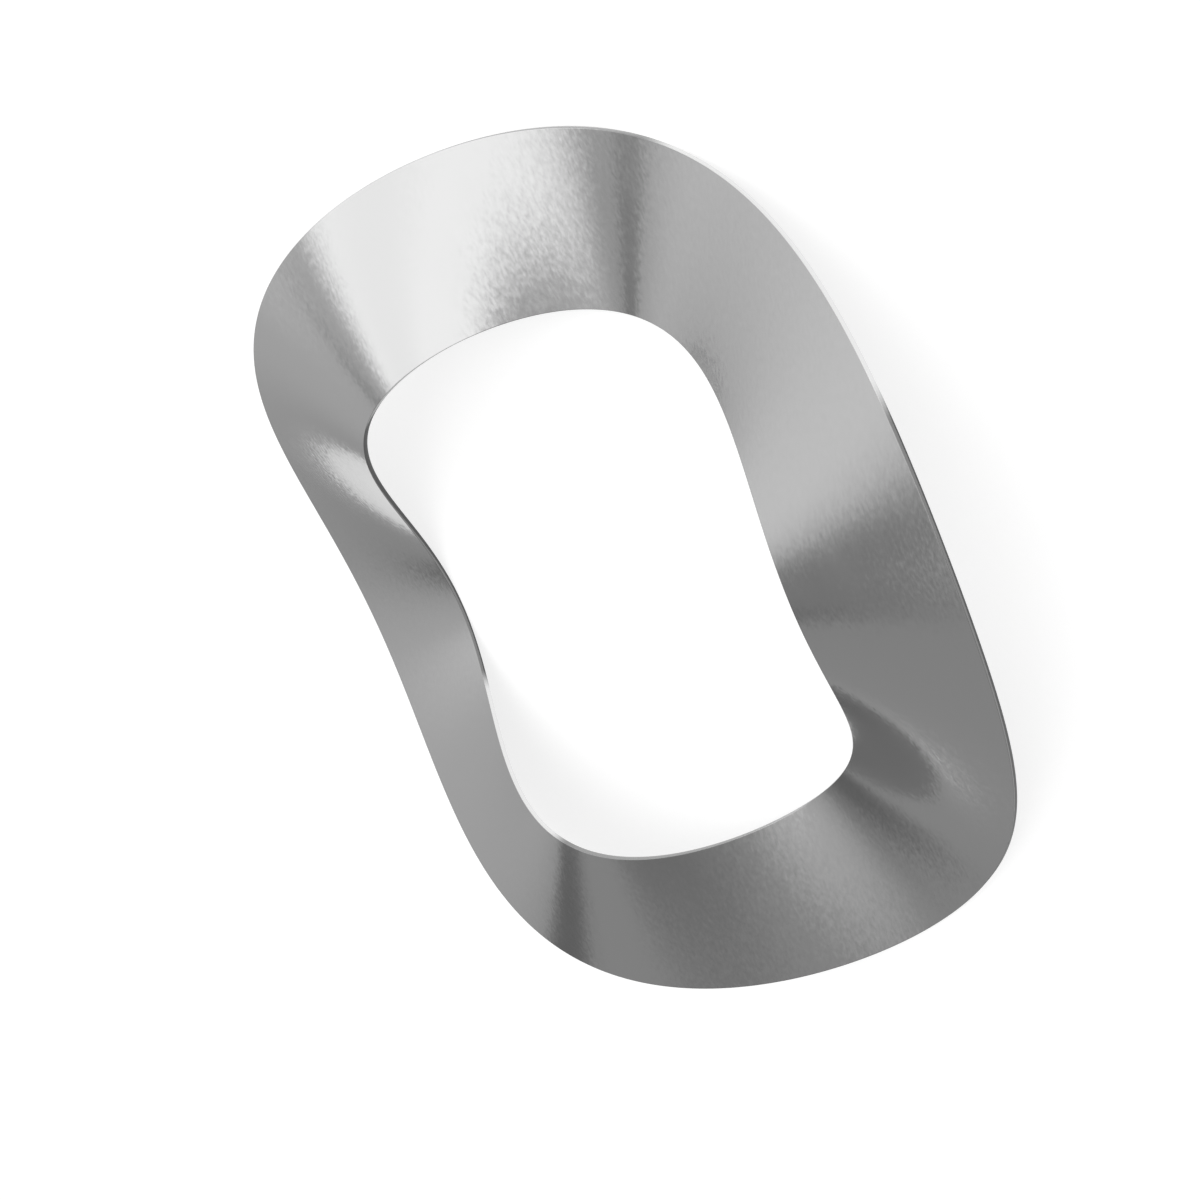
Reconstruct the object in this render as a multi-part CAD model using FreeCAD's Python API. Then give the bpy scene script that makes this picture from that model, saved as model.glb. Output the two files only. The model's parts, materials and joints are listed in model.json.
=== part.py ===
import FreeCAD, Part
import math
import os

os.makedirs("parts", exist_ok=True)

# A wave washer: one flat ring of thin spring steel, formed into equal waves around its bore.
# The bore axis is Z. The troughs rest on the plane Z = 0, and one crest lies on +X.

# Driving dimensions in millimetres
outer_diameter = 26.0
inner_diameter = 16.4
sheet_thickness = 0.15
# Unloaded height, from the plane under the troughs to the top of the crests
free_height = 3.3
wave_count = 3

# The wave is formed in short spans, so that each span of the bore wall is a low piece of true cylinder
# with steel behind it at its mid height
spans_per_wave = 24
# How far the formed sheet reaches past the bore and the rim before both are trimmed round
trim_allowance = 0.1

inner_radius = inner_diameter / 2
outer_radius = outer_diameter / 2
half_thickness = sheet_thickness / 2
middle_height = free_height / 2
# Height of the sheet's middle layer at a crest, above its mean height
wave_amplitude = middle_height - half_thickness
span_count = wave_count * spans_per_wave
span_angle = 2 * math.pi / span_count
# Share of the end tangents that makes a four-point curve follow a round arc of one span
tangent_share = 4 / 3 * math.tan(span_angle / 4)

UNDERSIDE = -1
TOPSIDE = 1


def edge_point(angle, radius, side):
    """A point on one edge line of the sheet, and the line's tangent for one radian of turn.

    Every radial line of a washer that is waved evenly stays level, so the middle layer's height depends on
    the angle alone. The thickness is measured square to the sloping sheet, so it counts for more upright
    where the slope is steep, which is more so at the bore than at the rim.
    """
    phase = wave_count * angle
    slope = -wave_count * wave_amplitude * math.sin(phase) / radius
    slope_change = -wave_count ** 2 * wave_amplitude * math.cos(phase) / radius
    stretch = math.sqrt(1 + slope ** 2)
    height = middle_height + wave_amplitude * math.cos(phase) + side * half_thickness * stretch
    climb = slope * radius + side * half_thickness * slope * slope_change / stretch
    point = FreeCAD.Vector(radius * math.cos(angle), radius * math.sin(angle), height)
    tangent = FreeCAD.Vector(-radius * math.sin(angle), radius * math.cos(angle), climb)
    return point, tangent


def edge_poles(start_angle, end_angle, radius, side):
    """The four control points of one edge line over one span, tangent to the next span's line."""
    start, start_tangent = edge_point(start_angle, radius, side)
    end, end_tangent = edge_point(end_angle, radius, side)
    return [start, start + start_tangent * tangent_share, end - end_tangent * tangent_share, end]


def curved_edge(poles):
    curve = Part.BezierCurve()
    curve.setPoles(poles)
    return curve.toShape()


def side_edges(start_angle, end_angle, side):
    """The inner and outer edges of one face of a span, each moved past its wall by the trim allowance."""
    inner = edge_poles(start_angle, end_angle, inner_radius, side)
    outer = edge_poles(start_angle, end_angle, outer_radius, side)
    reach = trim_allowance / (outer_radius - inner_radius)
    inner_reached = [near + (near - far) * reach for near, far in zip(inner, outer)]
    outer_reached = [far + (far - near) * reach for near, far in zip(inner, outer)]
    return curved_edge(inner_reached), curved_edge(outer_reached)


def end_face(edges, end):
    """The flat radial face that closes a span at its first (0) or last (-1) angle."""
    corners = [edge.Vertexes[end].Point for edge in edges]
    return Part.Face(Part.makePolygon(corners + corners[:1]))


def formed_span(start_angle, end_angle):
    """One span of the waved sheet as a closed solid: level rulings join its inner and outer edges."""
    low_inner, low_outer = side_edges(start_angle, end_angle, UNDERSIDE)
    high_inner, high_outer = side_edges(start_angle, end_angle, TOPSIDE)
    loop = [low_inner, low_outer, high_outer, high_inner]
    faces = [
        Part.makeRuledSurface(low_inner, low_outer),
        Part.makeRuledSurface(high_inner, high_outer),
        Part.makeRuledSurface(low_inner, high_inner),
        Part.makeRuledSurface(low_outer, high_outer),
        end_face(loop, 0),
        end_face(loop, -1),
    ]
    shell = Part.makeShell(faces)
    shell.sewShape()
    span = Part.makeSolid(shell)
    if span.Volume < 0:
        span.reverse()
    return span


def blanking_ring():
    """The space between the bore and the rim, tall enough for the whole wave: it trims both walls round."""
    height = free_height + 2 * trim_allowance
    base = FreeCAD.Vector(0, 0, -trim_allowance)
    rim = Part.makeCylinder(outer_radius, height, base)
    bore = Part.makeCylinder(inner_radius, height, base)
    return rim.cut(bore)


def make_wave_washer():
    ring = blanking_ring()
    spans = []
    for number in range(span_count):
        span = formed_span(number * span_angle, (number + 1) * span_angle)
        spans.append(span.common(ring).Solids[0])
    return spans[0].multiFuse(spans[1:]).Solids[0]


wave_washer = make_wave_washer()
wave_washer.exportStep("parts/wave_washer.step")
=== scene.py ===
# %% [markdown]
# # A wave washer of spring steel
# The real thing is one thin ring, stamped from steel strip and formed into three even waves. Under a nut
# the waves flatten, and their spring force keeps the thread from working loose. This lesson models that
# ring, gives it the finish of rolled strip, and sets it on a pale floor in a soft studio.
#
# The measured solid comes first. Everything made here takes its place and size from it, in metres.

# %% The measured frame
import json
from math import atan2, cos, hypot, radians, sin

import bmesh
import bpy
from mathutils import Matrix, Vector


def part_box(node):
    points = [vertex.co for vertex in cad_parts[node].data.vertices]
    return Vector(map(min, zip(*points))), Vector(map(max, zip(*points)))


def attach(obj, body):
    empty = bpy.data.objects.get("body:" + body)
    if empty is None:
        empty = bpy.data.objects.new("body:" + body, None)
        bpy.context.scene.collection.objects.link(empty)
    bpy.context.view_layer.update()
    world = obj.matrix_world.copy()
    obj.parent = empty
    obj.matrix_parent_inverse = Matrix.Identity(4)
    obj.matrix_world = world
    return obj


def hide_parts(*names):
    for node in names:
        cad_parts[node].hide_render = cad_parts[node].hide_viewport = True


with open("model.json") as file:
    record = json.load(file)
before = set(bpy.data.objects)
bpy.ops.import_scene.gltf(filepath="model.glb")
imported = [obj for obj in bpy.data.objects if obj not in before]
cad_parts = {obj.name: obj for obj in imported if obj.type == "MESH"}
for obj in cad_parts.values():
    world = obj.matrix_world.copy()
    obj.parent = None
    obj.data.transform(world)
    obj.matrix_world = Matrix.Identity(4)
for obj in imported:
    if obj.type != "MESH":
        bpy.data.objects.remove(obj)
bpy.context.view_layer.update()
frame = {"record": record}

MM = 0.001

low_corner, high_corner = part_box("wave_washer")
RIM_RADIUS = (high_corner[0] - low_corner[0]) / 2
FREE_HEIGHT = high_corner[2] - low_corner[2]
bore = next(mount for mount in frame["record"]["mounts"] if mount["name"] == "bore")
BORE_RADIUS = bore["dims"]["r_mm"] * MM
RING_WIDTH = RIM_RADIUS - BORE_RADIUS
print(f"rim {RIM_RADIUS / MM:.2f} mm, bore {BORE_RADIUS / MM:.2f} mm, height {FREE_HEIGHT / MM:.2f} mm")

# %% [markdown]
# ## The flat blank
# The press cuts a flat ring out of strip, so the model starts as that ring too. It could be a cylinder
# with a hole cut through it, but a cut leaves ragged faces. Here four circles are drawn, two at the bore
# and two at the rim, and neighbouring circles are bridged. That gives clean rows of quads which run along
# the radius, and such rows bend into waves without creasing.

# %% Four circles, bridged into a ring
SHEET = 0.15 * MM
STEPS_AROUND = 720


def circle_edges(bm, radius, height):
    """One ring of edges at a height; returns them for bridging."""
    place = Matrix.Translation((0, 0, height))
    made = bmesh.ops.create_circle(bm, cap_ends=False, segments=STEPS_AROUND, radius=radius, matrix=place)
    # Each edge is met from both its ends. A dictionary keeps it once, in the same order on every run.
    return list(dict.fromkeys(edge for vert in made["verts"] for edge in vert.link_edges))


def flat_blank():
    """The flat ring as a closed mesh, and the edges of its four corners."""
    bm = bmesh.new()
    bottom, top = -SHEET / 2, SHEET / 2
    section = [(BORE_RADIUS, bottom), (RIM_RADIUS, bottom), (RIM_RADIUS, top), (BORE_RADIUS, top)]
    circles = [circle_edges(bm, radius, height) for radius, height in section]
    for one, other in zip(circles, circles[1:] + circles[:1]):
        bmesh.ops.bridge_loops(bm, edges=one + other)
    bmesh.ops.recalc_face_normals(bm, faces=bm.faces[:])
    corners = [edge for circle in circles for edge in circle]
    return bm, corners


ring, corner_edges = flat_blank()
print(f"blank: {len(ring.faces)} quads, {len(corner_edges)} corner edges")

# %% [markdown]
# ## The worn corners
# A stamped edge is never knife sharp: the punch rolls the corner over a little, and tumbling takes off
# the burr. A tiny bevel gives that roll-over. The flat sides then get a border row next to the bevel,
# because the smooth shading has to bend from the side to the corner somewhere. A wide border would show
# that bend as a bright line round the ring, so this one is too narrow to see.

# %% Roll the corners over and divide the sides
CORNER_ROLL = 0.008 * MM
CORNER_STEPS = 3
BORDER = 0.012 * MM
ROWS_ACROSS = 14
# Only the faces of the sides have a normal this upright: those of the corners tip by 15 degrees or more
UPRIGHT = 0.99


def roll_corners(bm, edges):
    """Rounds the four corners of the blank with a small bevel."""
    bmesh.ops.bevel(bm, geom=edges, offset=CORNER_ROLL, offset_type="OFFSET", segments=CORNER_STEPS,
                    profile=0.5, affect="EDGES", clamp_overlap=True, material=-1)


def divide_sides(bm):
    """Gives both sides a border row at the bore and at the rim, and divides what lies between."""
    sides = [face for face in bm.faces if abs(face.normal.z) > UPRIGHT]
    bmesh.ops.inset_region(bm, faces=sides, thickness=BORDER, use_boundary=True, use_even_offset=True)
    across = [edge for edge in bm.edges if edge.calc_length() > RING_WIDTH / 2]
    bmesh.ops.subdivide_edges(bm, edges=across, cuts=ROWS_ACROSS - 1, use_grid_fill=True)


def fix_order(bm):
    """Sorts the faces by their first edge, because the inset leaves its faces in an order that varies."""
    bm.verts.index_update()
    points = len(bm.verts)
    bm.faces.sort(key=lambda face: face.verts[0].index * points + face.verts[1].index)


roll_corners(ring, corner_edges)
divide_sides(ring)
fix_order(ring)
print(f"divided blank: {len(ring.faces)} faces, {len(ring.verts)} points")

# %% [markdown]
# ## The waves
# The forming die presses the blank into a cosine: the height of the sheet's middle layer depends on the
# angle alone, so every radial line stays level. A point above or below that layer moves along the tilted
# normal, so the sheet keeps its thickness on the slopes. The slope is steeper at the bore than at the
# rim, because the same rise happens over a shorter arc.
#
# Each point also keeps three numbers that a finish below needs. One is how deep in the sheet it lay, from
# 0 at the underside to 1 on top. The ring is cut by a compound die, which makes the bore and the rim in
# one stroke. The next is how squarely a wall faces one side of the ring, from 1 where it faces that side
# to -1 where it faces away. The walls that face that side get a painted reflection, and those that face
# away get more of a dark band, as painted shade. The last is how squarely a wall faces along Y, across the
# grain that rolling gave the strip, which runs along Y. The walls that face along Y get a lighter painted
# reflection.

# %% Form the blank
WAVES = 3
AMPLITUDE = (FREE_HEIGHT - SHEET) / 2
MIDDLE = low_corner[2] + FREE_HEIGHT / 2
DEPTH_NAME = "depth_in_sheet"
FACING_NAME = "facing_painted_light"
ALONG_Y_NAME = "facing_along_y"
# The side of the ring whose walls get the painted reflection, as an angle round the ring from +X
PAINTED_LIGHT_SIDE = radians(38)


def formed(point):
    """Where a point of the flat blank goes when the die closes."""
    angle = atan2(point.y, point.x)
    radius = hypot(point.x, point.y)
    slope = -WAVES * AMPLITUDE * sin(WAVES * angle) / radius
    along = Vector((-sin(angle), cos(angle), 0))
    normal = (Vector((0, 0, 1)) - slope * along).normalized()
    middle_layer = Vector((point.x, point.y, MIDDLE + AMPLITUDE * cos(WAVES * angle)))
    return middle_layer + point.z * normal


def facing_painted_light(point):
    """1 where a wall faces the side with the painted reflection, and -1 where it faces away from it."""
    facing = 1 if hypot(point.x, point.y) > BORE_RADIUS + RING_WIDTH / 2 else -1
    return facing * cos(atan2(point.y, point.x) - PAINTED_LIGHT_SIDE)


def facing_along_y(point):
    """1 where a wall faces along Y, across the grain, and 0 where it faces along X. A painted reflection
    follows it.
    """
    return abs(point.y) / hypot(point.x, point.y)


# The second and third numbers place the painted reflections and the painted shade on the walls
depth_layer = ring.verts.layers.float.new(DEPTH_NAME)
facing_layer = ring.verts.layers.float.new(FACING_NAME)
along_y_layer = ring.verts.layers.float.new(ALONG_Y_NAME)
for vert in ring.verts:
    vert[depth_layer] = vert.co.z / SHEET + 0.5
    vert[facing_layer] = facing_painted_light(vert.co)
    vert[along_y_layer] = facing_along_y(vert.co)
    vert.co = formed(vert.co)
ring.normal_update()
print(f"waves: {AMPLITUDE / MM:.3f} mm up and down, slope up to {WAVES * AMPLITUDE / BORE_RADIUS:.2f}")

# %% [markdown]
# ## Two finishes on one piece
# The sides of the ring are strip as it left the rolling mill. The walls of the bore and the rim were
# sheared by the punch, which leaves a duller, darker skin. Both are one piece of steel, so they stay one
# mesh, and the faces of the walls get the second material.

# %% Make the piece
def is_wall(face):
    """True for the sheared faces and their rolled corners, at the bore or at the rim."""
    centre = face.calc_center_median()
    radius = hypot(centre.x, centre.y)
    return radius < BORE_RADIUS + CORNER_ROLL or radius > RIM_RADIUS - CORNER_ROLL


for face in ring.faces:
    face.smooth = True
    face.material_index = 1 if is_wall(face) else 0

washer_mesh = bpy.data.meshes.new("formed_ring")
ring.to_mesh(washer_mesh)
ring.free()
washer = bpy.data.objects.new("formed_ring", washer_mesh)
bpy.context.scene.collection.objects.link(washer)
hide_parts("wave_washer")
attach(washer, "root")
print(f"formed ring: {len(washer_mesh.polygons)} faces")

# %% [markdown]
# ## Helpers for materials
# Colours are written as the hex values that a paint program shows, and one function turns them to linear
# light. Another adds a node with its settings and its links, so that each material reads as a short
# recipe. The third makes the empty material that a recipe starts from.

# %% Three helpers
def linear(hex_colour):
    """An sRGB hex colour as linear red, green, blue and alpha. The numbers are the sRGB standard's own."""
    parts = [int(hex_colour[i:i + 2], 16) / 255 for i in (1, 3, 5)]
    return [part / 12.92 if part <= 0.04045 else ((part + 0.055) / 1.055) ** 2.4 for part in parts] + [1]


def add_node(tree, kind, settings=None, inputs=None):
    """Adds a node. An input is given as a value, or as the output socket that feeds it."""
    node = tree.nodes.new(kind)
    for name, value in (settings or {}).items():
        setattr(node, name, value)
    for name, value in (inputs or {}).items():
        if isinstance(value, bpy.types.NodeSocket):
            tree.links.new(value, node.inputs[name])
        else:
            node.inputs[name].default_value = value
    return node


def new_material(name):
    """An empty node material, and its tree."""
    material = bpy.data.materials.new(name)
    material.use_nodes = True
    material.node_tree.nodes.clear()
    return material, material.node_tree


print(f"#808080 looks half bright, and is {linear('#808080')[0]:.3f} in linear light")

# %% [markdown]
# ## Bright rolled spring steel
# The strip is hardened carbon steel, rolled between polished rolls and left bare. It mirrors the room a
# little softly. Seen close, the rolls leave a skin of tiny dimples, about a tenth of a millimetre across
# and twice as long, drawn out along the strip. They are far too shallow to see as shapes, but they shake
# the edges of what the steel mirrors, so those edges look mottled. A bump could do that, but the slopes
# of its height field line up as ripples. Noise colour can tip the normal directly and unevenly: its three
# channels, less a half, are a small random tilt of a degree or so. The noise reads only the two level
# coordinates, because the strip was still flat when it was rolled. A slow second noise varies how soft
# the mirror is.

# %% Material: bright rolled spring steel
ROLLED_TONE = "#BCBCBC"
DIMPLE = 0.08 * MM
DIMPLE_STRETCH = 2.3
# How far the tilt swings from one side to the other, against a normal of length 1
DIMPLE_TILT = 0.06
PATCH = 1.2 * MM
SHARPEST_ROUGHNESS = 0.11
SOFTEST_ROUGHNESS = 0.15
# Noise seldom leaves this part of its range from 0 to 1
NOISE_LOW = 0.3
NOISE_HIGH = 0.7


def rolled_spring_steel():
    """Bare strip from polished rolls: a soft mirror with a mottled skin."""
    material, tree = new_material("bright_rolled_spring_steel")
    place = add_node(tree, "ShaderNodeTexCoord").outputs["Object"]
    strip = add_node(tree, "ShaderNodeMapping", {}, {"Vector": place, "Scale": (1, 1 / DIMPLE_STRETCH, 0)})
    dimples = add_node(tree, "ShaderNodeTexNoise", {}, {
        "Vector": strip.outputs["Vector"], "Scale": 1 / DIMPLE, "Detail": 1.0})
    tilt = add_node(tree, "ShaderNodeVectorMath", {"operation": "MULTIPLY_ADD"}, {
        0: dimples.outputs["Color"], 1: (DIMPLE_TILT,) * 3, 2: (-DIMPLE_TILT / 2,) * 3})
    smooth = add_node(tree, "ShaderNodeNewGeometry").outputs["Normal"]
    tipped = add_node(tree, "ShaderNodeVectorMath", {"operation": "ADD"}, {
        0: smooth, 1: tilt.outputs["Vector"]})
    skin = add_node(tree, "ShaderNodeVectorMath", {"operation": "NORMALIZE"}, {
        0: tipped.outputs["Vector"]})
    patches = add_node(tree, "ShaderNodeTexNoise", {}, {
        "Vector": strip.outputs["Vector"], "Scale": 1 / PATCH, "Detail": 3.0})
    roughness = add_node(tree, "ShaderNodeMapRange", {}, {
        "Value": patches.outputs["Fac"], "From Min": NOISE_LOW, "From Max": NOISE_HIGH,
        "To Min": SHARPEST_ROUGHNESS, "To Max": SOFTEST_ROUGHNESS})
    steel = add_node(tree, "ShaderNodeBsdfPrincipled", {}, {
        "Base Color": linear(ROLLED_TONE), "Metallic": 1.0,
        "Roughness": roughness.outputs["Result"], "Normal": skin.outputs["Vector"]})
    add_node(tree, "ShaderNodeOutputMaterial", {}, {"Surface": steel.outputs["BSDF"]})
    return material


washer_mesh.materials.append(rolled_spring_steel())
print("material of the sides:", washer_mesh.materials[0].name)

# %% [markdown]
# ## Sheared steel
# Where the punch goes in, it cuts the steel clean and smears it smooth. Further down the steel gives way
# and tears, which leaves a duller and darker band. The punch drags fine marks through the thickness too,
# which are noise that is stretched upright. The depth in the sheet is stored on the mesh, so the two
# The walls that face the side with the painted reflection get a wider smooth band, and those that face
# away get a wider torn band, as painted shade, so the facing is added to the depth before the bands are
# parted. Walls that face along Y get a wider smooth band and a lighter tone, which is a painted
# reflection. The walls that face the painted side most squarely are painted near white all through,
# as a painted reflection too.

# %% Where the wall is torn, and where reflections and shade are painted on it
SHEAR_MARK = 0.04 * MM
# The noise is read this much slower upright, which draws the marks out through the thickness
MARK_SQUEEZE = 0.15
# How much of the sheet the smooth band gains from facing the painted side, from facing along Y and from a
# mark
FACING_GAIN = 0.8
ALONG_Y_GAIN = 1.2
MARK_GAIN = 0.3
# With the gains added to its depth, the wall is torn below the first of these and smooth above the second
TORN_BELOW = 1.15
SMOOTH_ABOVE = 1.35
# How squarely a wall faces along Y where its painted reflection starts, and where it is full
SIDE_REFLECTION_FROM = 0.8
SIDE_REFLECTION_FULL = 0.92
# The facing at which the near-white painted reflection starts, and at which it covers the whole wall
PAINTED_REFLECTION_FROM = 0.925
PAINTED_REFLECTION_FULL = 0.955


def shear_marks(tree):
    """Noise that is drawn out upright, as the punch drags its marks."""
    place = add_node(tree, "ShaderNodeTexCoord").outputs["Object"]
    upright = add_node(tree, "ShaderNodeMapping", {}, {"Vector": place, "Scale": (1, 1, MARK_SQUEEZE)})
    return add_node(tree, "ShaderNodeTexNoise", {}, {
        "Vector": upright.outputs["Vector"], "Scale": 1 / SHEAR_MARK, "Detail": 2.0}).outputs["Fac"]


def wall_masks(tree, marks):
    """Masks from 0 to 1: the torn band, which painted shade widens on walls that face away; the lighter
    painted reflection on walls that face along Y; and the near-white painted reflection.
    """
    depth = add_node(tree, "ShaderNodeAttribute", {"attribute_name": DEPTH_NAME}).outputs["Fac"]
    toward_painted_light = add_node(tree, "ShaderNodeAttribute", {"attribute_name": FACING_NAME}).outputs["Fac"]
    along_y = add_node(tree, "ShaderNodeAttribute", {"attribute_name": ALONG_Y_NAME}).outputs["Fac"]
    # The lighter painted reflection on the walls that face along Y
    side_reflection = add_node(tree, "ShaderNodeMapRange", {"interpolation_type": "SMOOTHSTEP"}, {
        "Value": along_y, "From Min": SIDE_REFLECTION_FROM, "From Max": SIDE_REFLECTION_FULL}).outputs["Result"]
    # Facing the painted side widens the smooth band, and facing away widens the torn band as painted shade
    depth_and_facing = add_node(tree, "ShaderNodeMath", {"operation": "MULTIPLY_ADD"}, {
        0: toward_painted_light, 1: FACING_GAIN, 2: depth})
    shifted_depth = add_node(tree, "ShaderNodeMath", {"operation": "MULTIPLY_ADD"}, {
        0: side_reflection, 1: ALONG_Y_GAIN, 2: depth_and_facing.outputs["Value"]})
    ragged = add_node(tree, "ShaderNodeMath", {"operation": "MULTIPLY_ADD"}, {
        0: marks, 1: MARK_GAIN, 2: shifted_depth.outputs["Value"]})
    # The torn band: partly the real torn steel, and partly painted shade on the walls that face away
    torn_and_painted_shade = add_node(tree, "ShaderNodeMapRange", {"interpolation_type": "SMOOTHSTEP"}, {
        "Value": ragged.outputs["Value"], "From Min": SMOOTH_ABOVE, "From Max": TORN_BELOW})
    # The near-white painted reflection on the walls that face the painted side
    painted_reflection = add_node(tree, "ShaderNodeMapRange", {"interpolation_type": "SMOOTHSTEP"}, {
        "Value": toward_painted_light, "From Min": PAINTED_REFLECTION_FROM, "From Max": PAINTED_REFLECTION_FULL})
    return torn_and_painted_shade.outputs["Result"], side_reflection, painted_reflection.outputs["Result"]


print(f"a shear mark is {SHEAR_MARK / MM:.2f} mm wide and {SHEAR_MARK / MARK_SQUEEZE / MM:.2f} mm long")

# %% Material: sheared steel
SMOOTH_BAND = "#828282"
# A lighter tone painted on the smooth band of walls that face along Y, as a painted reflection
SIDE_REFLECTION_TONE = "#A0A0A0"
TORN_BAND = "#5E5E5E"
# A near-white tone painted on the walls that face one side, as a painted reflection
PAINTED_REFLECTION_TONE = "#E4E4E4"
SMOOTH_ROUGHNESS = 0.26
TORN_ROUGHNESS = 0.5
PAINTED_REFLECTION_ROUGHNESS = 0.15
MARK_DEPTH = 0.002 * MM


def sheared_steel():
    """The cut walls: a smooth band above a torn one, with reflections painted lighter along Y and near
    white on one side.
    """
    material, tree = new_material("sheared_steel_wall")
    marks = shear_marks(tree)
    torn_and_painted_shade, side_reflection, painted_reflection = wall_masks(tree, marks)
    smooth_band_and_side_reflection = add_node(tree, "ShaderNodeMix", {"data_type": "RGBA"}, {
        0: side_reflection, 6: linear(SMOOTH_BAND), 7: linear(SIDE_REFLECTION_TONE)})
    band_tone = add_node(tree, "ShaderNodeMix", {"data_type": "RGBA"}, {
        0: torn_and_painted_shade, 6: smooth_band_and_side_reflection.outputs[2], 7: linear(TORN_BAND)})
    # The near-white painted reflection is laid over the bands
    tone = add_node(tree, "ShaderNodeMix", {"data_type": "RGBA"}, {
        0: painted_reflection, 6: band_tone.outputs[2], 7: linear(PAINTED_REFLECTION_TONE)})
    band_roughness = add_node(tree, "ShaderNodeMapRange", {}, {
        "Value": torn_and_painted_shade, "To Min": SMOOTH_ROUGHNESS, "To Max": TORN_ROUGHNESS})
    roughness = add_node(tree, "ShaderNodeMix", {"data_type": "FLOAT"}, {
        0: painted_reflection, 2: band_roughness.outputs["Result"], 3: PAINTED_REFLECTION_ROUGHNESS})
    skin = add_node(tree, "ShaderNodeBump", {}, {
        "Height": marks, "Strength": 1.0, "Distance": MARK_DEPTH})
    steel = add_node(tree, "ShaderNodeBsdfPrincipled", {}, {
        "Base Color": tone.outputs[2], "Metallic": 1.0,
        "Roughness": roughness.outputs[0], "Normal": skin.outputs["Normal"]})
    add_node(tree, "ShaderNodeOutputMaterial", {}, {"Surface": steel.outputs["BSDF"]})
    return material


washer_mesh.materials.append(sheared_steel())
print("material of the walls:", washer_mesh.materials[1].name)

# %% [markdown]
# ## The floor
# The floor is a sheet of white paper. It is lit by the same room as the washer, and keeps the washer's
# soft shadow. What the camera and the steel see of it is lifted to white near the washer, as a
# photographer lights paper apart from the subject. Further out the lift fades with one over the distance,
# which is how fast the paper nears the horizon in a picture, so it ends softly in the grey of the
# horizon.

# %% Floor
PAPER = "#AAAAAA"
# In metres: half the side of the sheet, and how far from its middle the lift begins to fade
FLOOR_HALF = 4.0
WHITE_UNTIL = 0.12
# The light that is added to what is seen of the paper, near the washer and far off
LIFT_NEAR = 0.72
LIFT_FAR = 0.15


def white_paper():
    """Paper that takes the washer's shadow, and is lifted to white for the camera and in mirrors."""
    material, tree = new_material("white_paper")
    paper = add_node(tree, "ShaderNodeBsdfDiffuse", {}, {"Color": linear(PAPER)})
    ray = add_node(tree, "ShaderNodeLightPath").outputs
    in_view_or_mirror = add_node(tree, "ShaderNodeMath", {"operation": "MAXIMUM"}, {
        0: ray["Is Camera Ray"], 1: ray["Is Glossy Ray"]})
    seen = add_node(tree, "ShaderNodeMath", {"operation": "MAXIMUM"}, {
        0: in_view_or_mirror.outputs["Value"], 1: ray["Is Transmission Ray"]})
    place = add_node(tree, "ShaderNodeTexCoord").outputs["Object"]
    away = add_node(tree, "ShaderNodeVectorMath", {"operation": "LENGTH"}, {0: place})
    nearness = add_node(tree, "ShaderNodeMath", {"operation": "DIVIDE"}, {
        0: WHITE_UNTIL, 1: away.outputs["Value"]})
    lift = add_node(tree, "ShaderNodeMapRange", {"interpolation_type": "SMOOTHSTEP"}, {
        "Value": nearness.outputs["Value"], "To Min": LIFT_FAR, "To Max": LIFT_NEAR})
    seen_lift = add_node(tree, "ShaderNodeMath", {"operation": "MULTIPLY"}, {
        0: seen.outputs["Value"], 1: lift.outputs["Result"]})
    glow = add_node(tree, "ShaderNodeEmission", {}, {"Strength": seen_lift.outputs["Value"]})
    both = add_node(tree, "ShaderNodeAddShader", {}, {
        0: paper.outputs["BSDF"], 1: glow.outputs["Emission"]})
    add_node(tree, "ShaderNodeOutputMaterial", {}, {"Surface": both.outputs["Shader"]})
    return material


floor_mesh = bpy.data.meshes.new("floor")
sheet = bmesh.new()
bmesh.ops.create_grid(sheet, x_segments=1, y_segments=1, size=FLOOR_HALF,
                      matrix=Matrix.Translation((0, 0, low_corner[2])))
sheet.to_mesh(floor_mesh)
sheet.free()
floor_mesh.materials.append(white_paper())
floor = bpy.data.objects.new("floor", floor_mesh)
bpy.context.scene.collection.objects.link(floor)
print(f"floor: {2 * FLOOR_HALF:.0f} m across")

# %% [markdown]
# ## The studio
# Bare steel shows nothing but the room that it mirrors, so the room is the lighting. It is a plain grey
# room with soft-edged cards in it: a large light overhead, pale walls, and dim gaps between them. Lamps
# and planes could stand around the washer, but painted on the sky they cost nothing to render.
#
# The sky is turned into a flat map first. A place on it is two leans in degrees from straight up: the
# first towards +X, the second towards +Y.

# %% The sky as a map of leans
def lean_map(tree):
    """The direction of the sky as degrees of lean from straight up, towards +X and towards +Y."""
    way = add_node(tree, "ShaderNodeVectorMath", {"operation": "NORMALIZE"}, {
        0: add_node(tree, "ShaderNodeTexCoord").outputs["Generated"]})
    height = add_node(tree, "ShaderNodeSeparateXYZ", {}, {"Vector": way.outputs["Vector"]})
    lean = add_node(tree, "ShaderNodeMath", {"operation": "ARCCOSINE"}, {0: height.outputs["Z"]})
    degrees = add_node(tree, "ShaderNodeMath", {"operation": "DEGREES"}, {0: lean.outputs["Value"]})
    level = add_node(tree, "ShaderNodeVectorMath", {"operation": "MULTIPLY"}, {
        0: way.outputs["Vector"], 1: (1, 1, 0)})
    towards = add_node(tree, "ShaderNodeVectorMath", {"operation": "NORMALIZE"}, {
        0: level.outputs["Vector"]})
    return add_node(tree, "ShaderNodeVectorMath", {"operation": "SCALE"}, {
        0: towards.outputs["Vector"], "Scale": degrees.outputs["Value"]}).outputs["Vector"]


world = bpy.data.worlds.new("studio")
world.use_nodes = True
studio = world.node_tree
studio.nodes.clear()
sky = lean_map(studio)
print(f"sky: {len(studio.nodes)} nodes turn a direction into leans")

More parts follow.
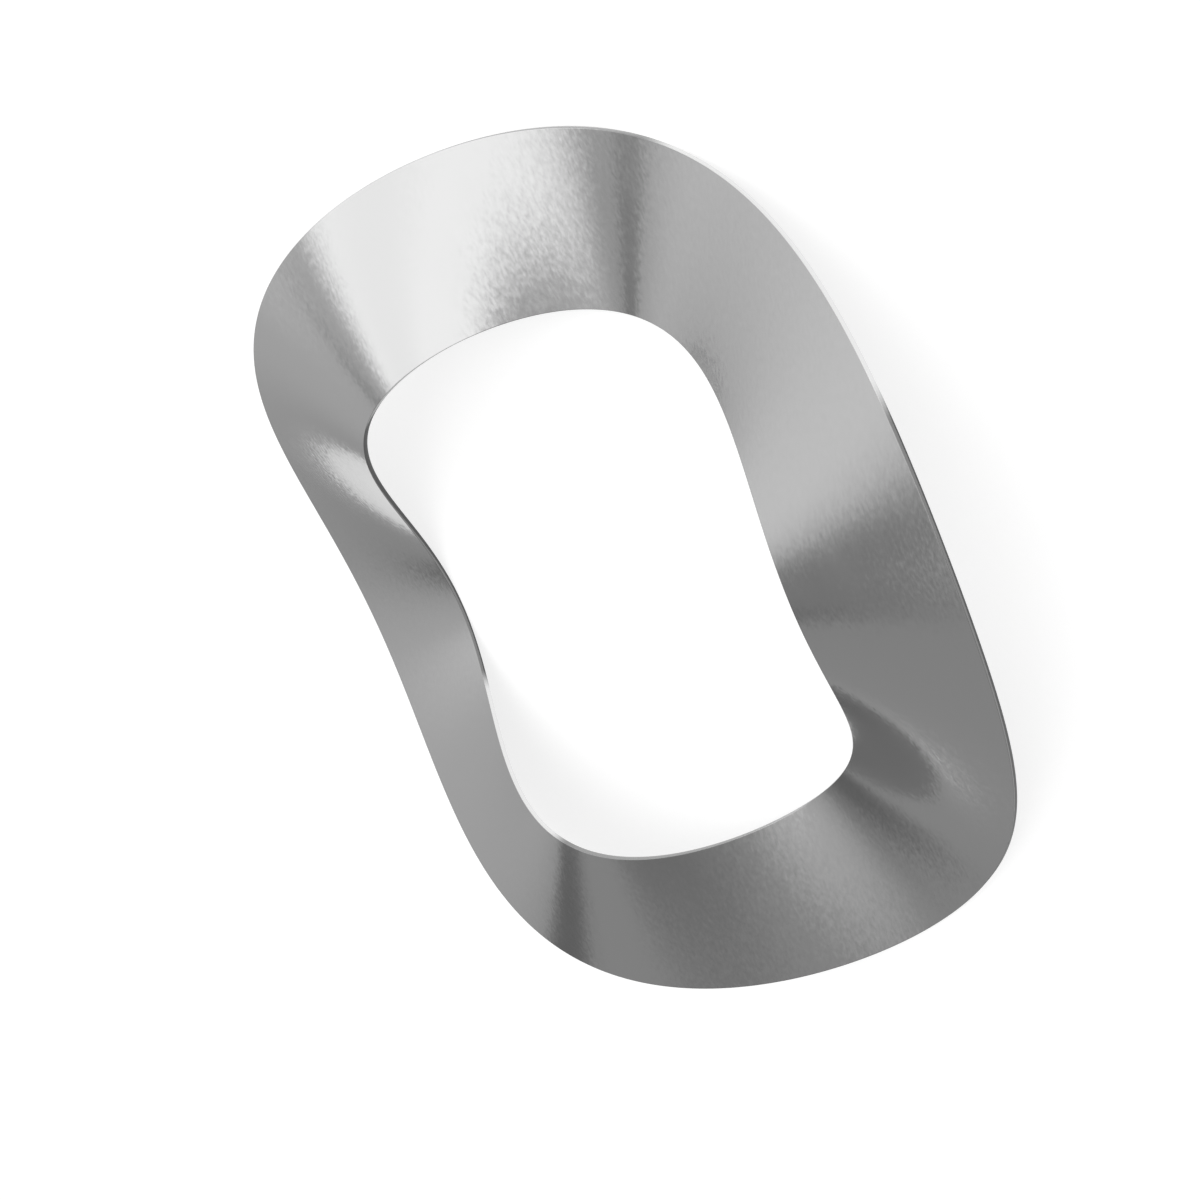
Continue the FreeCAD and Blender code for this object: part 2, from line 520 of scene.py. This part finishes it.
# %% [markdown]
# ## The cards
# A card is a soft mask on the map. Its edge is the length of the squared card coordinates, which gives a
# rounded rectangle, and it is laid over the cards before it.
#
# The walls are alike on both sides of the washer, so that it looks much the same from behind. For their
# cards the map is folded along a middle lean, as paper is folded before a shape is cut twice: the lesser
# of the lean and its mirror image is taken. The other cards are laid once.
#
# The pale walls and the glow on them give the broad light tones of the steel, and the near wall is the
# one beside the camera. The dim gaps between the walls draw the narrow dark stripes. No light reaches the
# dark corners and the dark side. The overhead light gives the near-white stretch, in a halo of its own,
# and its cloth is a little uneven.

# %% The cards, from the walls to the light
ROOM_GREY = 0.42
MIDDLE_LEAN = 11
# Each card: how it is laid, its centre, its half size and its turn in degrees, how soft its edge is, and
# its brightness
CARDS = {
    "pale walls": ("folded", (-50, 18), (30, 43), -59, 0.8, 0.67),
    "glow on the walls": ("folded", (-25, 42), (46, 18), 38, 0.8, 1.08),
    "near wall": ("once", (45, -45), (40, 20), 35, 1.0, 0.85),
    "halo of the light": ("once", (-9, -11), (23, 8), 17, 1.0, 0.69),
    "dim gaps": ("folded", (-40, -14), (4, 14), -4, 0.95, 0.31),
    "dark corners": ("folded", (-53, -31), (11, 6), 45, 0.95, 0.2),
    "dark side": ("once", (-3, -37), (22, 10), 27, 0.9, 0.27),
    "overhead light": ("once", (4, 16), (33, 22.5), 15, 0.4, 1.69),
    "uneven cloth on the light": ("once", (-12, 5), (8, 4), 5, 0.9, 1.56),
}


def lay_card(tree, leans, under, centre, half_size, turn, softness, brightness):
    """Lays one soft rounded card over the brightness below it, and returns the new brightness."""
    local = add_node(tree, "ShaderNodeMapping", {"vector_type": "TEXTURE"}, {
        "Vector": leans, "Location": (*centre, 0), "Rotation": (0, 0, radians(turn)),
        "Scale": (*half_size, 1)})
    squared = add_node(tree, "ShaderNodeVectorMath", {"operation": "MULTIPLY"}, {
        0: local.outputs["Vector"], 1: local.outputs["Vector"]})
    # The length is 1 on the card's edge. The mask fades from inside that edge to as far outside it.
    outward = add_node(tree, "ShaderNodeVectorMath", {"operation": "LENGTH"}, {
        0: squared.outputs["Vector"]})
    mask = add_node(tree, "ShaderNodeMapRange", {"interpolation_type": "SMOOTHSTEP"}, {
        "Value": outward.outputs["Value"], "From Min": 1 - softness, "From Max": 1 + softness,
        "To Min": 1.0, "To Max": 0.0})
    return add_node(tree, "ShaderNodeMix", {"data_type": "FLOAT"}, {
        0: mask.outputs["Result"], 2: under, 3: brightness}).outputs[0]


# The lean towards X is mirrored about the middle lean, and the lean towards Y is kept
mirrored = add_node(studio, "ShaderNodeVectorMath", {"operation": "MULTIPLY_ADD"}, {
    0: sky, 1: (-1, 1, 1), 2: (2 * MIDDLE_LEAN, 0, 0)})
folded = add_node(studio, "ShaderNodeVectorMath", {"operation": "MINIMUM"}, {
    0: sky, 1: mirrored.outputs["Vector"]})
skies = {"folded": folded.outputs["Vector"], "once": sky}
room_light = ROOM_GREY
for name, (laid, centre, half_size, turn, softness, brightness) in CARDS.items():
    room_light = lay_card(studio, skies[laid], room_light, centre, half_size, turn, softness, brightness)
    print("card:", name)

# %% [markdown]
# ## The horizon
# The floor ends in the sky. A narrow band in the tone of the far floor runs along the horizon, so that no
# hard line shows between the two. It could be one more card, but it goes all the way round, so its mask
# is the lean alone.

# %% The horizon, and the finished sky
HORIZON_TONE = 0.5
# In degrees of lean
HORIZON_FROM = 84
HORIZON_FULL = 90

lean = add_node(studio, "ShaderNodeVectorMath", {"operation": "LENGTH"}, {0: sky})
band = add_node(studio, "ShaderNodeMapRange", {"interpolation_type": "SMOOTHSTEP"}, {
    "Value": lean.outputs["Value"], "From Min": HORIZON_FROM, "From Max": HORIZON_FULL})
sky_light = add_node(studio, "ShaderNodeMix", {"data_type": "FLOAT"}, {
    0: band.outputs["Result"], 2: room_light, 3: HORIZON_TONE})
room = add_node(studio, "ShaderNodeBackground", {}, {
    "Color": linear("#FFFFFF"), "Strength": sky_light.outputs[0]})
add_node(studio, "ShaderNodeOutputWorld", {}, {"Surface": room.outputs["Background"]})
bpy.context.scene.world = world
print(f"studio: {len(CARDS)} cards in {len(studio.nodes)} nodes")

# %% [markdown]
# ## The camera
# The picture is taken from close by with a normal lens, which is why the near side of the ring looks so
# much wider than the far side. The camera looks down on the washer and is rolled far over, so that the
# ring stands on end in the picture. Blender's Standard view shows each tone as it is written.

# %% Camera
# In millimetres, as on a real camera
LENS = 50
SENSOR = 36
# Where the camera stands, seen from the middle of the washer, and how far it is rolled over
DISTANCE = 3.635 * RIM_RADIUS
AZIMUTH = radians(18.3)
ELEVATION = radians(39.7)
ROLL = radians(-125.4)
# In metres: nothing nearer or farther than this is drawn
NEAREST_SEEN = 1 * MM
FARTHEST_SEEN = 10

back = Vector((cos(ELEVATION) * cos(AZIMUTH), cos(ELEVATION) * sin(AZIMUTH), sin(ELEVATION)))
level_right = Vector((-sin(AZIMUTH), cos(AZIMUTH), 0))
level_up = back.cross(level_right)
right = cos(ROLL) * level_right + sin(ROLL) * level_up
up = back.cross(right)
camera_data = bpy.data.cameras.new("camera")
camera_data.lens = LENS
camera_data.sensor_width = SENSOR
camera_data.clip_start = NEAREST_SEEN
camera_data.clip_end = FARTHEST_SEEN
camera = bpy.data.objects.new("camera", camera_data)
turned = Matrix((right, up, back)).transposed().to_4x4()
camera.matrix_world = Matrix.Translation(Vector((0, 0, MIDDLE)) + DISTANCE * back) @ turned
bpy.context.scene.collection.objects.link(camera)
bpy.context.scene.camera = camera
bpy.context.scene.view_settings.view_transform = "Standard"
print("camera at", [round(value / MM, 1) for value in camera.matrix_world.translation], "mm")
